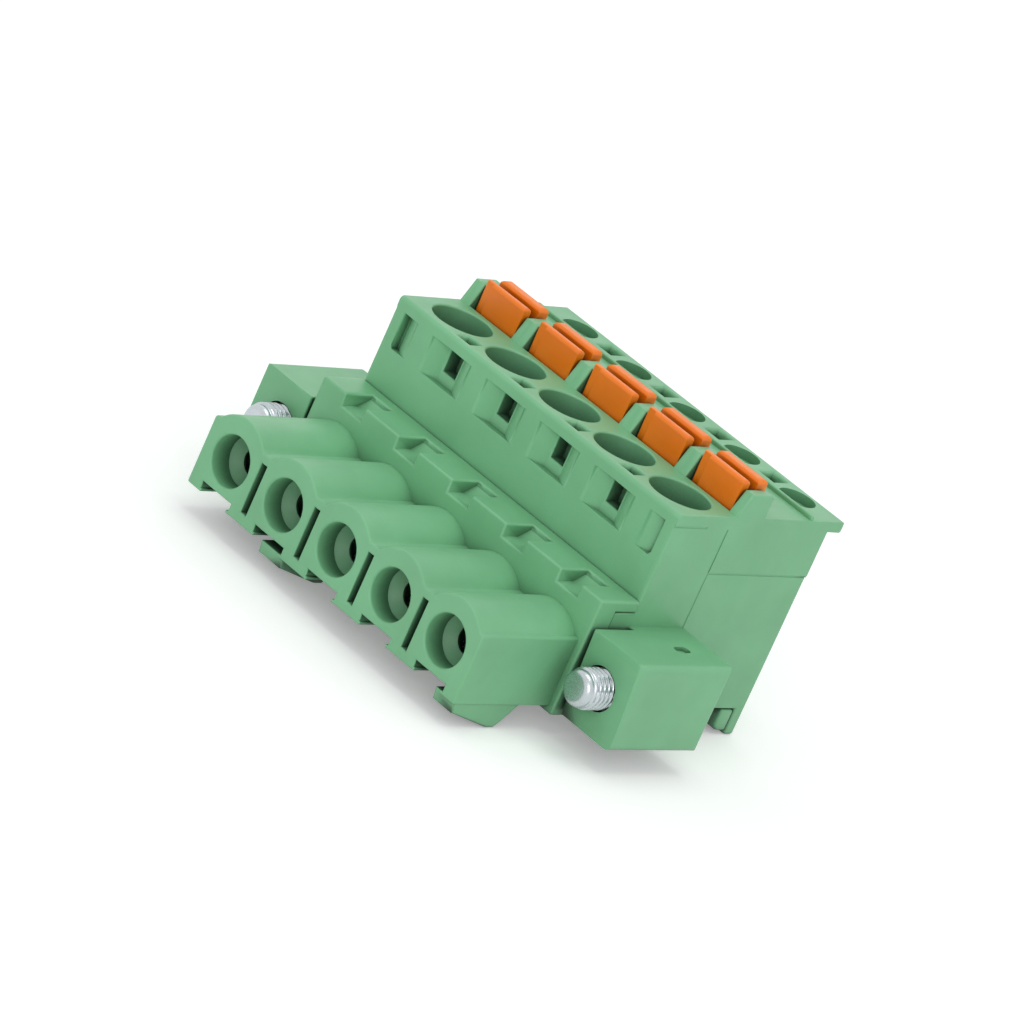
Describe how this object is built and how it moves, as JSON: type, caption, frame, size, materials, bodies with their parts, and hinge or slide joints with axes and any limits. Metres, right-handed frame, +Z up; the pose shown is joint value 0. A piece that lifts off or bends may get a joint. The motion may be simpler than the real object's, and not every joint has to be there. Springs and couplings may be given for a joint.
{
  "type": "pluggable terminal block",
  "caption": "Pluggable push-in terminal block with rounded socket nose, wire entries on top, release buttons behind them and screw flanges at both ends.",
  "frame": {"origin": "middle of the outline, on the surface that the two latch noses and the back foot stand on", "axes": "+X along the row of poles, +Y from the mating face to the back, +Z up, the way the wires leave"},
  "size_m": [0.0354, 0.0262, 0.0167],
  "materials": {
    "housing": "satin moulded polyamide",
    "button": "satin moulded polyamide",
    "contact": "tin plated copper alloy",
    "spring": "bare stainless spring steel",
    "screw": "zinc plated steel"
  },
  "bodies": {
    "plug": {"front_housing": "housing", "main_housing": "housing", "contact_1": "contact", "contact_2": "contact", "contact_3": "contact", "contact_4": "contact", "contact_5": "contact", "over_spring_1": "spring", "over_spring_2": "spring", "over_spring_3": "spring", "over_spring_4": "spring", "over_spring_5": "spring", "clamp_spring_1": "spring", "clamp_spring_2": "spring", "clamp_spring_3": "spring", "clamp_spring_4": "spring", "clamp_spring_5": "spring"},
    "button_1": {"button_1": "button"},
    "button_2": {"button_2": "button"},
    "button_3": {"button_3": "button"},
    "button_4": {"button_4": "button"},
    "button_5": {"button_5": "button"},
    "screw_left": {"flange_screw_left": "screw"},
    "screw_right": {"flange_screw_right": "screw"}
  },
  "joints": [
    {"name": "button_1_press", "type": "slide", "parent": "plug", "child": "button_1", "axis": [0, 0, -1], "range_m": [0, 0.0012], "stiffness_N_per_m": 2500, "springref_m": -0.0004, "deforming": ["clamp_spring_1"]},
    {"name": "button_2_press", "type": "slide", "parent": "plug", "child": "button_2", "axis": [0, 0, -1], "range_m": [0, 0.0012], "stiffness_N_per_m": 2500, "springref_m": -0.0004, "deforming": ["clamp_spring_2"]},
    {"name": "button_3_press", "type": "slide", "parent": "plug", "child": "button_3", "axis": [0, 0, -1], "range_m": [0, 0.0012], "stiffness_N_per_m": 2500, "springref_m": -0.0004, "deforming": ["clamp_spring_3"]},
    {"name": "button_4_press", "type": "slide", "parent": "plug", "child": "button_4", "axis": [0, 0, -1], "range_m": [0, 0.0012], "stiffness_N_per_m": 2500, "springref_m": -0.0004, "deforming": ["clamp_spring_4"]},
    {"name": "button_5_press", "type": "slide", "parent": "plug", "child": "button_5", "axis": [0, 0, -1], "range_m": [0, 0.0012], "stiffness_N_per_m": 2500, "springref_m": -0.0004, "deforming": ["clamp_spring_5"]},
    {"name": "screw_left_turn", "type": "hinge", "parent": "plug", "child": "screw_left", "pos_m": [-0.01524, -0.0021, 0.00435], "axis": [0, 1, 0], "continuous": true},
    {"name": "screw_right_turn", "type": "hinge", "parent": "plug", "child": "screw_right", "pos_m": [0.01524, -0.0021, 0.00435], "axis": [0, 1, 0], "continuous": true}
  ]
}
